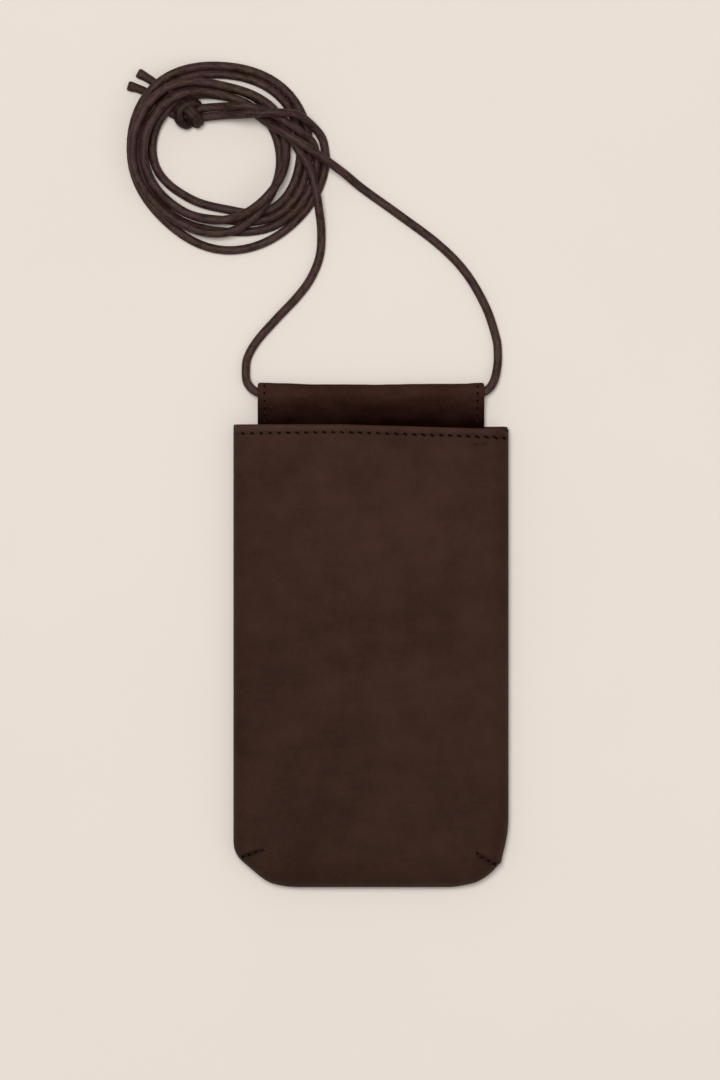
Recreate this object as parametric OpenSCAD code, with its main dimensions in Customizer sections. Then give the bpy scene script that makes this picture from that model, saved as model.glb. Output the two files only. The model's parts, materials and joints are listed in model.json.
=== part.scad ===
// Flat leather phone pouch that lies on its back, with a hanger tab and a long round cord.
// X runs to the right of the front, Y from the bottom of the pouch to its mouth, Z out of the front.

/* [Pouch] */
// Width across the side seams
pouch_w = 110; // [90:1:150]
// Height from the bottom seam to the back panel's mouth edge
pouch_h = 184.3; // [150:0.1:240]
// Depth of the filled pouch in its middle
pouch_depth = 14; // [11:0.5:24]
// Height of the side seam above the back
seam_z = 5; // [4:0.25:6]
// Thickness of the leather
leather_t = 1.3; // [0.9:0.1:1.8]
// Width of the rounded edge along the sides
side_round = 7; // [5:0.5:12]
// Height of the rounded edge along the bottom
bottom_round = 12; // [8:0.5:20]
// Width of a bottom corner's curve
corner_w = 21.4; // [12:0.2:30]
// Height of a bottom corner's curve
corner_h = 18; // [10:0.5:26]

/* [Mouth] */
// How far the front edge stands above the back edge on the left
front_rise = 0.7; // [0:0.1:3]
// How much lower the front edge is on the right than on the left
mouth_slant = 2.3; // [0:0.1:5]
// Height of the turned-in hem
hem_h = 5; // [3:0.5:10]

/* [Hanger tab] */
// Distance from the pouch's side to the tab's side
tab_inset = 9.7; // [7:0.1:20]
// Height of the tab above the back panel's mouth edge
tab_rise = 17.1; // [15:0.1:30]
// Thickness of one leaf of the tab
tab_leaf_t = 1.3; // [0.9:0.1:1.8]
// Width of the turned hem at each side of the tab
tab_hem_w = 4.8; // [3:0.1:8]
// Extra thickness of that hem on each leaf
tab_hem_t = 0.8; // [0.4:0.1:1.2]
// Depth of the tab's sewn end inside the mouth
anchor_depth = 14; // [8:0.5:24]
// Gap between the sewn end and the swinging end
hinge_gap = 0.3; // [0.2:0.05:0.6]

/* [Cord] */
// Diameter of the cord
cord_d = 3.4; // [3:0.1:3.6]
// Clearance round the cord in the tab
cord_clearance = 0.3; // [0.1:0.05:0.6]
// Distance from the tab's side to where each half of the cord starts
exit_gap = 0.6; // [0.5:0.05:1]
// Rise from one layer of the coil to the next
layer_rise = 4.2; // [4:0.05:5]

/* [Hidden] */

leather_colour = [0.22, 0.15, 0.13];
tab_colour = [0.20, 0.13, 0.11];
cord_colour = [0.25, 0.20, 0.18];

half_w = pouch_w / 2;
total_h = pouch_h + tab_rise;
bottom_y = -total_h / 2;
back_mouth_y = bottom_y + pouch_h;
front_mouth_y = back_mouth_y + front_rise;

// Shape of the corner curve, and how much of the depth the side of the crowned front keeps
corner_power_share = 1.6;
crown_share = 0.75;
// Rows of a panel in its corners and its straight part, columns in a rounded side and its middle
corner_rows = 9;
straight_rows = 8;
side_columns = 6;
middle_columns = 6;
// Step that closes the turned hem's lower edge
hem_step = leather_t / 5;

// Half width of a panel whose side and bottom lie inset from the outer one
function half_width(y, inset) =
    let (s = min(1, max(0, (y - bottom_y - inset) / corner_h)),
         drop = 1 - pow(1 - pow(1 - s, corner_power_share), 1 / corner_power_share))
    half_w - inset - corner_w * drop;

// Share of the depth at a point, from 0 on the seam to 1 in the flat middle
function round_share(over, width) = sqrt(max(0, 1 - pow(min(1, max(0, over) / width), 2)));
function dome_share(x, y, inset) =
    let (w = half_width(y, inset))
    round_share(abs(x) - (w - side_round + inset), side_round - inset)
    * round_share(bottom_y + bottom_round - y, bottom_round - inset);

// Columns from -1 to 1, close together in the rounded sides
function column_shares() =
    let (edge = 1 - side_round / half_w,
         side = [for (i = [0 : side_columns]) edge + (1 - edge) * sin(90 * i / side_columns)],
         middle = [for (i = [1 : middle_columns - 1]) edge * (2 * i / middle_columns - 1)])
    concat([for (i = [side_columns : -1 : 0]) -side[i]], middle, side);

// Row heights above the bottom edge, close together in the corners, then up to the hem and the mouth
function row_heights(hem) =
    let (top = pouch_h - hem_h)
    concat([for (i = [0 : corner_rows - 1]) corner_h * (1 - cos(90 * i / corner_rows))],
           [for (i = [0 : straight_rows]) corner_h + (top - hem_step - corner_h) * i / straight_rows],
           hem ? [top, pouch_h] : [pouch_h]);

// A closed slab between an outer and an inner grid of points, both listed row by row
module slab(outer, inner) {
    rows = len(outer);
    columns = len(outer[0]);
    count = rows * columns;
    points = concat([for (row = outer) each row], [for (row = inner) each row]);
    function at(r, c) = r * columns + c;
    rim = concat([for (c = [0 : columns - 1]) at(0, c)],
                 [for (r = [1 : rows - 1]) at(r, columns - 1)],
                 [for (c = [columns - 2 : -1 : 0]) at(rows - 1, c)],
                 [for (r = [rows - 2 : -1 : 1]) at(r, 0)]);
    edges = len(rim);
    faces = concat(
        [for (r = [0 : rows - 2], c = [0 : columns - 2])
            each [[at(r, c), at(r + 1, c), at(r + 1, c + 1)], [at(r, c), at(r + 1, c + 1), at(r, c + 1)]]],
        [for (r = [0 : rows - 2], c = [0 : columns - 2])
            each [[count + at(r, c), count + at(r + 1, c + 1), count + at(r + 1, c)],
                  [count + at(r, c), count + at(r, c + 1), count + at(r + 1, c + 1)]]],
        [for (i = [0 : edges - 1])
            let (a = rim[i], b = rim[(i + 1) % edges])
            each [[a, b, count + b], [a, count + b, count + a]]]);
    polyhedron(points, faces);
}

// Height of the front face above the seam, for leather that reaches inset into the pouch
function front_z(x, y, inset, share) =
    seam_z + (pouch_depth - seam_z - inset) * (crown_share + (1 - crown_share) * (1 - share * share))
    * dome_share(x, y, inset);
function back_z(x, y, inset) = seam_z - (seam_z - inset) * dome_share(x, y, inset);

// How far a row's right end drops below its left end, all of it at the mouth
function slant_at(h, share) =
    let (part = max(0, (h - corner_h) / (pouch_h - corner_h)))
    part * (front_rise - mouth_slant * (share + 1) / 2);

function front_grid(inset, hem_inset) =
    [for (h = row_heights(true))
        let (y = max(bottom_y + h, bottom_y + inset),
             depth = h > pouch_h - hem_h - hem_step / 2 ? hem_inset : inset)
        [for (s = column_shares())
            let (x = s * half_width(y, inset))
            [x, y + slant_at(h, s), front_z(x, y, depth, s)]]];

function back_grid(inset) =
    [for (h = row_heights(false))
        let (y = max(bottom_y + h, bottom_y + inset))
        [for (s = column_shares())
            let (x = s * half_width(y, inset))
            [x, y, back_z(x, y, inset)]]];

module front_panel() {
    color(leather_colour)
        slab(front_grid(0, 0), front_grid(leather_t, 2 * leather_t));
}

module back_panel() {
    color(leather_colour)
        mirror([0, 0, 1])
            slab([for (row = back_grid(0)) [for (p = row) [p.x, p.y, -p.z]]],
                 [for (row = back_grid(leather_t)) [for (p = row) [p.x, p.y, -p.z]]]);
}

// The tab is a strip folded over the cord, with both leaves sewn to the back panel's inner face
tab_w = pouch_w - 2 * tab_inset;
bore_r = cord_d / 2 + cord_clearance;
loop_r = bore_r + tab_leaf_t;
hem_r = loop_r + tab_hem_t;
leaf_half = tab_leaf_t;
hem_half = leaf_half + tab_hem_t;
loop_y = back_mouth_y + tab_rise - hem_r;
loop_z = hem_r;
leg_z = leather_t + hem_half;
hinge_y = back_mouth_y + hem_half + hinge_gap;
tab_span = norm([loop_y - hinge_y, loop_z - leg_z]);
tab_tilt = atan2(loop_z - leg_z, loop_y - hinge_y);
round_fn = 64;

// Side view of the tab from its hinge, where it is half thick, to the loop of radius r
module tab_profile(half, r) {
    spread = atan2(r - half, tab_span);
    circle(r = half, $fn = round_fn);
    translate([tab_span, 0])
        circle(r = r, $fn = round_fn);
    polygon([[0, half], [tab_span, r * cos(spread)], [tab_span, -r * cos(spread)], [0, -half]]);
}

// Places a side view so that it runs along X from one side to the other
module along_x(from, to) {
    translate([from, 0, 0])
        rotate([90, 0, 90])
            linear_extrude(height = to - from)
                children();
}

module hanger_tab() {
    color(tab_colour)
        translate([0, hinge_y, leg_z])
            rotate([tab_tilt, 0, 0])
                difference() {
                    union() {
                        along_x(-tab_w / 2, tab_w / 2)
                            tab_profile(leaf_half, loop_r);
                        along_x(-tab_w / 2, tab_hem_w - tab_w / 2)
                            tab_profile(hem_half, hem_r);
                        along_x(tab_w / 2 - tab_hem_w, tab_w / 2)
                            tab_profile(hem_half, hem_r);
                    }
                    translate([-tab_w, tab_span, 0])
                        rotate([0, 90, 0])
                            cylinder(r = bore_r, h = 2 * tab_w, $fn = round_fn);
                }
}

module tab_anchor() {
    color(tab_colour) {
        translate([-tab_w / 2, back_mouth_y - anchor_depth, leg_z - leaf_half])
            cube([tab_w, anchor_depth, 2 * leaf_half]);
        for (x = [-tab_w / 2, tab_w / 2 - tab_hem_w])
            translate([x, back_mouth_y - anchor_depth, leg_z - hem_half])
                cube([tab_hem_w, anchor_depth, 2 * hem_half]);
    }
}

module cord_in_tab() {
    color(cord_colour)
        translate([-tab_w / 2, loop_y, loop_z])
            rotate([0, 90, 0])
                cylinder(d = cord_d, h = tab_w, $fn = round_fn);
}

// Route of the cord. Each lead leaves the tab's side and turns up at once. Its points are chosen by
// hand, the first ones counted from where it starts.
floor_z = cord_d / 2;
left_start = [-tab_w / 2 - exit_gap, loop_y, loop_z];
right_start = [tab_w / 2 + exit_gap, loop_y, loop_z];
left_bend = [[0, 0, 0], [-2.1, 1.8, -0.1], [-3.8, 4.7, -0.6], [-4.2, 9, -1.5], [-3.5, 14.6, -2.2]];
right_bend = [[0, 0, 0], [2, 2.1, -0.1], [3.6, 5.7, -0.7], [4.7, 11.2, -1.7], [4.9, 16.4, -2.3]];
left_lead_points = concat([for (p = left_bend) left_start + p], [
    [-45.5, 118, 1.7], [-38, 126.5, 1.7], [-29.5, 135.5, 1.7], [-23.5, 143, 1.7], [-20.2, 152, 1.7],
    [-19.2, 162, 2.8], [-20.2, 171, 5.4], [-21.6, 179, 6], [-24.4, 187, 6.3], [-29, 194, 6.6],
    [-33, 200.5, 6.6], [-36, 206, 6.2]]);
right_lead_points = concat([for (p = right_bend) right_start + p], [
    [50, 119.5, 1.7], [45.7, 132, 1.7], [37.7, 145.5, 1.7], [27, 156.5, 1.7], [11.7, 168, 1.7],
    [-3, 178.5, 2.2], [-10.5, 184.5, 5.5], [-17.5, 189.5, 9.2], [-24.5, 194.3, 10.8], [-31.5, 198.8, 10.8],
    [-37.5, 202.4, 9.4], [-41.2, 204.8, 7.2], [-44.6, 207.3, 6], [-50.3, 212.6, 6]]);
// From the coil's last turn over the crossings to the knot
knot_middle = [-73.4, 208.6, 4.1];
left_end_points = [
    [-23, 197.8, 5.2], [-26.8, 201, 8.2], [-32.8, 204.4, 10.4], [-39.5, 208.1, 10.2], [-44.3, 210, 10.2],
    [-49.1, 211.2, 10.2], [-53.7, 211.5, 9.4], [-60.8, 211.5, 5.4], knot_middle + [6.4, 2.5, 0.5]];
right_end_points = [
    [-18.4, 199.3, 1.7], [-22.4, 203.8, 4.6], [-29.2, 208.2, 10.8], [-36.2, 208.4, 14.3],
    [-40.3, 208.4, 14.4], [-44.3, 208.2, 14.4], [-50.3, 207.7, 11.8], [-58.8, 207.6, 6],
    knot_middle + [7.1, -1.6, 0.5]];
left_tail_points = [
    knot_middle + [-4.6, 3, -1.7], [-82.5, 216, 1.7], [-87.2, 221.2, 1.7], [-92.7, 224.4, 1.7]];
right_tail_points = [
    knot_middle + [-5.6, -0.1, -1.7], [-84.5, 213, 1.7], [-90.8, 217.2, 1.7], [-96.9, 219, 1.7]];

// The coil winds anticlockwise round its middle. Each row gives a radius as a share of the coil's
// radius, and a layer, an eighth of a turn after the row before it.
coil_middle = [-58, 191];
coil_radius = 40;
loop_rings = 24;
eighths = 8;
rings_per_eighth = loop_rings / eighths;
left_turn_shares = [
    [0.70, 1], [0.7275, 1], [0.92, 2], [0.9325, 1.65], [0.815, 1], [0.75, 1], [0.63, 1.05], [0.515, 0],
    [0.56, 0], [0.615, 0], [0.725, 1], [0.717, 0], [0.53, 0], [0.51, 0], [0.64, 0], [0.72, 0],
    [0.76, 0], [0.82, 0], [0.93, 1.05], [0.885, 0.8], [0.787, 0.1], [0.725, 0], [0.841, 0], [0.914, 0]];
right_turn_shares = [
    [0.55, 1], [0.62, 1], [0.80, 2], [0.82, 1.5], [0.695, 1], [0.62, 1], [0.595, 2.05], [0.635, 0.62],
    [0.66, 0], [0.72, 0], [0.827, 1], [0.817, 0], [0.682, 0], [0.62, 0], [0.742, 0], [0.816, 0],
    [0.87, 0], [0.92, 0], [1.0345, 1], [0.965, 0], [0.892, 0], [0.906, 0], [0.945, 0], [1.014, 0]];

function last_of(list) = list[len(list) - 1];
function before_last(list) = list[len(list) - 2];

// Smooth curve through points, at t from 0 to 1 between p[1] and p[2]
function blend4(p, t) =
    (2 * p[1] + (p[2] - p[0]) * t + (2 * p[0] - 5 * p[1] + 4 * p[2] - p[3]) * t * t
     + (3 * p[1] - p[0] - 3 * p[2] + p[3]) * t * t * t) / 2;
function four(list, i) =
    let (last = len(list) - 1)
    [list[max(0, i - 1)], list[i], list[min(last, i + 1)], list[min(last, i + 2)]];
function smooth(list, steps) =
    [for (i = [0 : len(list) - 2], k = [0 : steps - 1]) blend4(four(list, i), k / steps)];

// Points of the turns, from the row named first to the last row
function turn_points(rows, first) = [
    for (i = [first : len(rows) - 1], k = [0 : i == len(rows) - 1 ? 0 : rings_per_eighth - 1])
        let (t = k / rings_per_eighth,
             row = blend4(four(rows, i), t),
             angle = 360 / eighths * (i + 1 + t))
        [coil_middle.x + coil_radius * row[0] * cos(angle),
         coil_middle.y + coil_radius * row[0] * sin(angle),
         floor_z + layer_rise * max(0, row[1])]];

lead_steps = 2;
end_steps = 3;
left_turns = turn_points(left_turn_shares, 0);
right_turns = turn_points(right_turn_shares, 1);
left_lead_route = concat(smooth(concat(left_lead_points, [left_turns[0]]), lead_steps), [left_turns[0]]);
right_lead_route = concat(smooth(concat(right_lead_points, [right_turns[0]]), lead_steps), [right_turns[0]]);
left_coil_route = concat([for (i = [0 : len(left_turns) - 2]) left_turns[i]],
    smooth(concat([last_of(left_turns)], left_end_points), end_steps), [last_of(left_end_points)]);
right_coil_route = concat([for (i = [0 : len(right_turns) - 2]) right_turns[i]],
    smooth(concat([last_of(right_turns)], right_end_points), end_steps), [last_of(right_end_points)]);

// Direction of a route at a point. Ahead and behind name the route's neighbours past its ends.
function direction(route, i, behind, ahead) =
    let (last = len(route) - 1,
         a = i == 0 ? behind : route[i - 1],
         b = i == last ? ahead : route[i + 1],
         d = b - a)
    d / norm(d);

// A tube of diameter d with flat sides, swept along a route
module tube(route, d, sides, behind, ahead) {
    rings = len(route);
    points = [for (i = [0 : rings - 1])
        let (along = direction(route, i, behind, ahead),
             level = [-along.y, along.x, 0],
             across = level / norm(level),
             up = cross(along, across))
        for (k = [0 : sides - 1])
            let (a = 360 * (k + 1 / 2) / sides)
            route[i] + d / 2 * (across * cos(a) + up * sin(a))];
    faces = concat(
        [[for (k = [0 : sides - 1]) k]],
        [[for (k = [sides - 1 : -1 : 0]) (rings - 1) * sides + k]],
        [for (i = [0 : rings - 2], k = [0 : sides - 1])
            let (a = i * sides + k, b = i * sides + (k + 1) % sides)
            each [[a, a + sides, b + sides], [a, b + sides, b]]]);
    polyhedron(points, faces);
}

coil_sides = 6;
lead_sides = 8;

module left_lead() {
    color(cord_colour)
        tube(left_lead_route, cord_d, lead_sides, left_start + [cord_d, 0, 0], left_turns[1]);
}

module right_lead() {
    color(cord_colour)
        tube(right_lead_route, cord_d, lead_sides, right_start - [cord_d, 0, 0], right_turns[1]);
}

module left_coil() {
    color(cord_colour)
        tube(left_coil_route, cord_d, coil_sides,
             before_last(left_lead_route), last_of(left_coil_route) - [cord_d, 0, 0]);
}

module right_coil() {
    color(cord_colour)
        tube(right_coil_route, cord_d, coil_sides,
             before_last(right_lead_route), last_of(right_coil_route) - [cord_d, 0, 0]);
}

// The knot ties both strands into one overhand, drawn tight
knot_half = [7, 5.8, 4.1];
knot_rings = 36;
knot_turn = -35;
knot_lobe_share = 1 / 3;
knot_points = [for (i = [0 : knot_rings - 1])
    let (t = 360 * i / knot_rings)
    [(knot_half.x - cord_d / 2) * knot_lobe_share * (sin(t) + 2 * sin(2 * t)),
     (knot_half.y - cord_d / 2) * knot_lobe_share * (cos(t) - 2 * cos(2 * t)),
     -(knot_half.z - cord_d / 2) * sin(3 * t)]];

// A closed ring of tube
module ring_tube(route, d, sides) {
    rings = len(route);
    points = [for (i = [0 : rings - 1])
        let (step = route[(i + 1) % rings] - route[(i + rings - 1) % rings],
             along = step / norm(step),
             level = [-along.y, along.x, 0],
             across = level / norm(level),
             up = cross(along, across))
        for (k = [0 : sides - 1])
            let (a = 360 * (k + 1 / 2) / sides)
            route[i] + d / 2 * (across * cos(a) + up * sin(a))];
    faces = [for (i = [0 : rings - 1], k = [0 : sides - 1])
        let (next = (i + 1) % rings * sides,
             a = i * sides + k, b = i * sides + (k + 1) % sides,
             c = next + k, e = next + (k + 1) % sides)
        each [[a, c, e], [a, e, b]]];
    polyhedron(points, faces);
}

module knot() {
    color(cord_colour)
        translate(knot_middle)
            rotate([0, 0, knot_turn])
                ring_tube(knot_points, cord_d, coil_sides);
}

module tail(points) {
    color(cord_colour)
        tube(points, cord_d, lead_sides,
             2 * points[0] - points[1], 2 * last_of(points) - before_last(points));
}

module left_tail() tail(left_tail_points);
module right_tail() tail(right_tail_points);

// Least gap between stretches of the two coiled strands, measured on their points
near_rings = 7;
function least(list) = min([for (v = list) v]);
function self_gap(route) = least([
    for (i = [0 : len(route) - 1 - near_rings], j = [i + near_rings : len(route) - 1])
        norm(route[i] - route[j])]);
function pair_gap(a, b) = least([for (p = a, q = b) norm(p - q)]);
echo(left_coil_gap = self_gap(left_coil_route) - cord_d);
echo(right_coil_gap = self_gap(right_coil_route) - cord_d);
echo(gap_between_coils = pair_gap(left_coil_route, right_coil_route) - cord_d);

front_panel();
back_panel();
tab_anchor();
hanger_tab();
cord_in_tab();
left_lead();
right_lead();
left_coil();
right_coil();
knot();
left_tail();
right_tail();
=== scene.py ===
"""Flat leather phone pouch with a hanger tab and a long round cord, laid on its back on a pale floor."""

import json
import math

import bmesh
import bpy
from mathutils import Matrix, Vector, noise


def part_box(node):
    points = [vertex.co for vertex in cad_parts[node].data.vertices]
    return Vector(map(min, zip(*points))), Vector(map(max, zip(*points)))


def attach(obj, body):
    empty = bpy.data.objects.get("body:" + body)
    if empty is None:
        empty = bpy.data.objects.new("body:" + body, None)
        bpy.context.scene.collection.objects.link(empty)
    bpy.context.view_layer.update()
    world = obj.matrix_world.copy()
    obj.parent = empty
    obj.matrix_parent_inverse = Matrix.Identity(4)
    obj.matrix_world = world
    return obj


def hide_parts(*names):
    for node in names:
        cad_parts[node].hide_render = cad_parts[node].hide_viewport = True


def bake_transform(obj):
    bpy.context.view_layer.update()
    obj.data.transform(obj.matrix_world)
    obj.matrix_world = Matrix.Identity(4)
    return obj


bl_info = {
    "name": "Leather Phone Pouch",
    "version": (1, 0, 0),
    "blender": (4, 5, 0),
    "location": "3D View > Sidebar > Pouch",
    "description": "Dresses the phone pouch with leather panels, stitching, a folded tab and a wound cord",
    "category": "Add Mesh",
}

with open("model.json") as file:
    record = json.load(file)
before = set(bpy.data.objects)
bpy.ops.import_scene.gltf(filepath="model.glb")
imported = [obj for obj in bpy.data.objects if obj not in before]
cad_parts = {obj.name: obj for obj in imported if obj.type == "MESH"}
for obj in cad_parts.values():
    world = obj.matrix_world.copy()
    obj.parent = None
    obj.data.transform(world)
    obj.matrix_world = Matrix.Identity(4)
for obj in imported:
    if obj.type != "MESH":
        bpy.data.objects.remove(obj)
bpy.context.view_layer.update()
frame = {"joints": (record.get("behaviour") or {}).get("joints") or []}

MM = 0.001

# The photograph's size in pixels, and the pixel that lies on the middle of the part
PHOTO_WIDTH_PX = 720
PHOTO_HEIGHT_PX = 1080
MIDDLE_X_PX = 370.95
MIDDLE_Y_PX = 635.3
MM_PER_PX = 0.4

front_low, front_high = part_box("front_panel")
back_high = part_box("back_panel")[1]
tab_low, tab_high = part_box("hanger_tab")
anchor_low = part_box("tab_anchor")[0]
core_low, core_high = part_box("cord_in_tab")
hinge = Vector(frame["joints"][0]["pos_m"])

# Places in millimetres, taken from the frame
HALF_WIDTH = front_high.x / MM
BOTTOM_Y = front_low.y / MM
FRONT_MOUTH_Y = front_high.y / MM
BACK_MOUTH_Y = back_high.y / MM
DEPTH = front_high.z / MM
SEAM_Z = front_low.z / MM
TAB_HALF = tab_high.x / MM
HINGE_Y = hinge.y / MM
LEG_Z = hinge.z / MM
CORD_DIAMETER = (core_high.z - core_low.z) / MM
LOOP_Y = (core_high.y + core_low.y) / 2 / MM
LOOP_Z = (core_high.z + core_low.z) / 2 / MM

# The stage, in metres and watts. A lamp has its name, place, size and power.
CAMERA_HEIGHT = 2.4
CAMERA_REACH = 20
SHARP_LEVEL = 0.0045
FLOOR_HALF = 3.0
AIR_COLOUR = (1.0, 0.985, 0.96, 1)
AIR_STRENGTH = 0.30
LAMPS = (
    ("key_lamp", (-0.30, 0.45, 2.85), 1.1, 57.5),
    ("fill_lamp", (1.0, -0.4, 1.6), 1.6, 4.0))

# Heights and widths over which painted light and shade change the leather's colour, in millimetres: lighter
# towards the mouth, a painted highlight on the hem, painted shade on the tab near the mouth and along the
# side seam
PAINTED_LIGHT_LOW_Y = -90
PAINTED_LIGHT_HIGH_Y = 75
HIGHLIGHT_LOW_Y = 80.5
HIGHLIGHT_HIGH_Y = 83.0
# Painted shade on the tab, nearly black at the low place and a little lighter than the leather at the high
# one
SHADED_LOW_Y = 83.5
SHADED_HIGH_Y = 99.5
SEAM_SHADE = 2.6
SEAM_SHADE_LINE = 0.3
# Colours that no user would change
WHITE = (1, 1, 1, 1)
# Painted highlight at the end where the thread comes up
THREAD_END_HIGHLIGHT = (0.105, 0.066, 0.053, 1)

# The cord's route follows the points of the part's source, in millimetres, with some of them moved a
# little nearer to the photograph. The first two of each lead lie inside the tab and hide the joint there.
KNOT_MIDDLE = Vector((-73.4, 208.6, 4.1))
LEFT_LEAD = [
    (-42, 96.6, 4.1), (-44.2, 96.8, 4.1), (-45.9, 97.4, 4.1), (-48, 98.9, 4), (-49.7, 101.6, 3.5),
    (-50.1, 105.6, 2.6), (-49.4, 111.2, 1.9), (-45.5, 118, 1.7), (-38, 126.5, 1.7), (-29.5, 135.5, 1.7),
    (-24, 143.1, 1.7), (-20.5, 152, 1.7), (-19.9, 162, 2.8), (-20.9, 171, 5.4), (-22.3, 179, 6),
    (-24.6, 187, 6.3), (-29, 194, 6.6), (-33, 200.5, 6.6), (-36, 206, 6.2)]
RIGHT_LEAD = [
    (42, 96.6, 4.1), (44.2, 96.9, 4.1), (45.9, 97.7, 4.1), (47.9, 99.5, 4), (49.5, 102.6, 3.4),
    (50.6, 107.8, 2.4), (50.8, 113, 1.8), (50, 119.5, 1.7), (45.7, 132, 1.7), (37.7, 145.5, 1.7),
    (27, 156.5, 1.7), (11.7, 168, 1.7), (-3, 178.5, 2.2), (-10.5, 184.5, 5.5), (-17.5, 189.5, 9.2),
    (-24.5, 194.3, 10.8), (-31.5, 198.8, 10.8), (-37.5, 202.4, 9.4), (-41.2, 204.8, 7.2), (-44.6, 207.3, 6),
    (-50.3, 212.6, 6)]
LEFT_END = [
    (-23.5, 197.1, 5.2), (-27.1, 200.5, 8.2), (-32.8, 204.4, 10.4), (-39.5, 208.1, 10.2), (-44.3, 210, 10.2),
    (-49.1, 211.1, 10.2), (-53.7, 211.35, 9.4), (-60.8, 211.3, 5.4), (-67, 210.9, 4.6), (-70.2, 210.2, 4.2)]
RIGHT_END = [
    (-19.3, 198.4, 1.7), (-22.9, 203.2, 4.6), (-29.2, 207.8, 10.8), (-36.2, 208.4, 14.3),
    (-40.3, 208.4, 14.4), (-44.3, 208.2, 14.4), (-50.3, 207.9, 11.8), (-58.8, 207.9, 6), (-66.3, 207.3, 4.6),
    (-69.6, 207.2, 4.2)]
LEFT_TAIL = [
    (-74.6, 209.8, 3.2), (-78, 211.6, 2.4), (-82.5, 216.2, 1.7), (-87.3, 221.6, 1.7), (-93.4, 225.3, 1.7)]
RIGHT_TAIL = [
    (-75.2, 207.6, 3.2), (-79, 208.5, 2.4), (-84.5, 213.2, 1.7), (-90.7, 217.8, 1.7), (-97.3, 220.1, 1.7)]
COIL_MIDDLE = (-58, 191)
COIL_RADIUS = 40
LAYER_RISE = 4.2
EIGHTHS = 8
# Radius as a share of the coil's radius, and layer, one row for each eighth of a turn
LEFT_TURNS = [
    (0.68, 1), (0.712, 1), (0.92, 2), (0.9325, 1.65), (0.815, 1), (0.75, 1), (0.595, 1.05), (0.54, 0),
    (0.56, 0), (0.615, 0), (0.752, 0.75), (0.73, 0), (0.55, 0), (0.51, 0), (0.69, 0), (0.74, 0),
    (0.813, 0), (0.836, 0), (0.925, 1.05), (0.885, 0.8), (0.79, 0.1), (0.735, 0), (0.855, 0), (0.915, 0)]
RIGHT_TURNS = [
    (0.55, 1), (0.62, 1), (0.80, 2), (0.82, 1.5), (0.70, 1), (0.62, 1), (0.57, 2.05), (0.602, 0.76),
    (0.65, 0), (0.708, 0), (0.827, 1), (0.817, 0), (0.70, 0), (0.62, 0), (0.772, 0), (0.827, 0),
    (0.90, 0), (0.921, 0), (1.01, 1), (0.95, 0), (0.874, 0), (0.922, 0), (0.937, 0), (1.0, 0)]
# The two wraps of the knot, counted from its middle. Each is a closed ring of both strands.
LEFT_WRAP = [
    (3.6, 4.2, 1.0), (1.2, 4.2, 3.0), (-2.1, 2.8, 3.8), (-3.6, 0.2, 3.6), (-3.0, -2.8, 2.4),
    (-1.2, -4.4, 0.2), (0.6, -3.2, -1.9), (2.0, 0.0, -2.4), (3.4, 2.8, -1.6)]
RIGHT_WRAP = [
    (-0.6, 2.4, 2.4), (0.9, 1.2, 4.1), (2.7, -0.8, 4.1), (4.2, -2.7, 2.6), (4.5, -3.7, 0.2),
    (3.2, -3.0, -1.9), (1.2, 0.0, -2.5), (-0.6, 2.0, -1.2)]
CORD_STEP = 1.3
CORD_SIDES = 16
ROUTE_STEPS = 8
# The tails are splayed and rounded over some steps before their cut ends
TAIL_STEP = 0.5
SPLAY = 0.17
SPLAY_STEPS = (9, 2)
RIM_SHARES = {0: 0.86, 1: 0.97}
# The knot's strands are pressed a little thinner and lie in pairs, and the ends of a wrap lap over
KNOT_STEP = 0.45
KNOT_RING_STEPS = 10
KNOT_LAP = 2
KNOT_PRESS = 0.97
KNOT_APART = 0.21

# The pouch's leather, in millimetres, with shares from -1 at the left side to 1 at the right. The front
# is lower by its sides than in its middle, and a turned edge is folded round a little slack.
CROWN_SHARE = 0.75
FOLD_SLACK = 0.06
PANEL_COLUMNS = 140
PANEL_ROWS = 270
# The mouth is level up to a share and then falls to the right, and a little more at the corner's tip
SLANT_FROM_SHARE = -0.21
SLANT_EASE = 0.3
TIP_FROM_SHARE = 0.955
TIP_DROP = 0.7
# Near the mouth, between two distances from it, the turned edge fills out to a square left corner
SQUARE_FROM = 5.0
SQUARE_TO = 1.0
SQUARE_FILL = 0.75
# Soft waves: their length across and along, their height, and their place in the noise
WAVES = ((34, 46, 0.45, 3.1), (14, 20, 0.12, 8.7))
CALM_UNDER_MOUTH = 9
# The ridge above the stitch row, the groove along it and the shelf down to the hem's lower edge
RIDGE_HEIGHT = 0.28
RIDGE_ABOVE_ROW = 0.6
RIDGE_BELOW_ROW = 0.3
GROOVE_DEPTH = 0.22
GROOVE_WIDTH = 0.55
GROOVE_SHADE = 0.3
SHELF_HEIGHT = 0.16
SHELF_FALL = 0.9
ROW_DIP_LEFT = 0.65
ROW_DIP_RIGHT = 0.3
# The darts' creases, with the shares along them where they fade, and the puckers beside them
CREASE_DEPTH = 0.8
CREASE_WIDTH = 0.6
CREASE_FADE = (0.55, 1.02)
CREASE_SHADE = 1.1
CREASE_SHADE_WIDTH = 0.75
CREASE_SHADE_FADE = (0.75, 1.0)
PUCKER_HEIGHT = 0.36
PUCKER_AWAY = 1.9
PUCKER_WIDTH = 1.1
NICK_SHADE = 0.9
NICK_LENGTH = 1.0
NICK_WIDTH = 0.5

# The tab, in millimetres, with shares from its end on the back leaf to its end on the front leaf
TAB_COLUMNS = 150
TAB_ROWS = 160
LOOP_SHARE = 0.34
LOOP_EASE = 0.45
LEAF_GAP = 0.02
OPENS_FROM_SHARE = 0.25
# Its extra thickness swells over the whole width and steps up at the hems, and its sides are rolled
SWELL_SHARE = 0.82
HEM_STEP_INSIDE = 2
HEM_STEP_OUTSIDE = 1
ROLL_WIDTH = 1.1
ROLL_DROP = 0.95
SPREAD_ANGLE = 1.35
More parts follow.
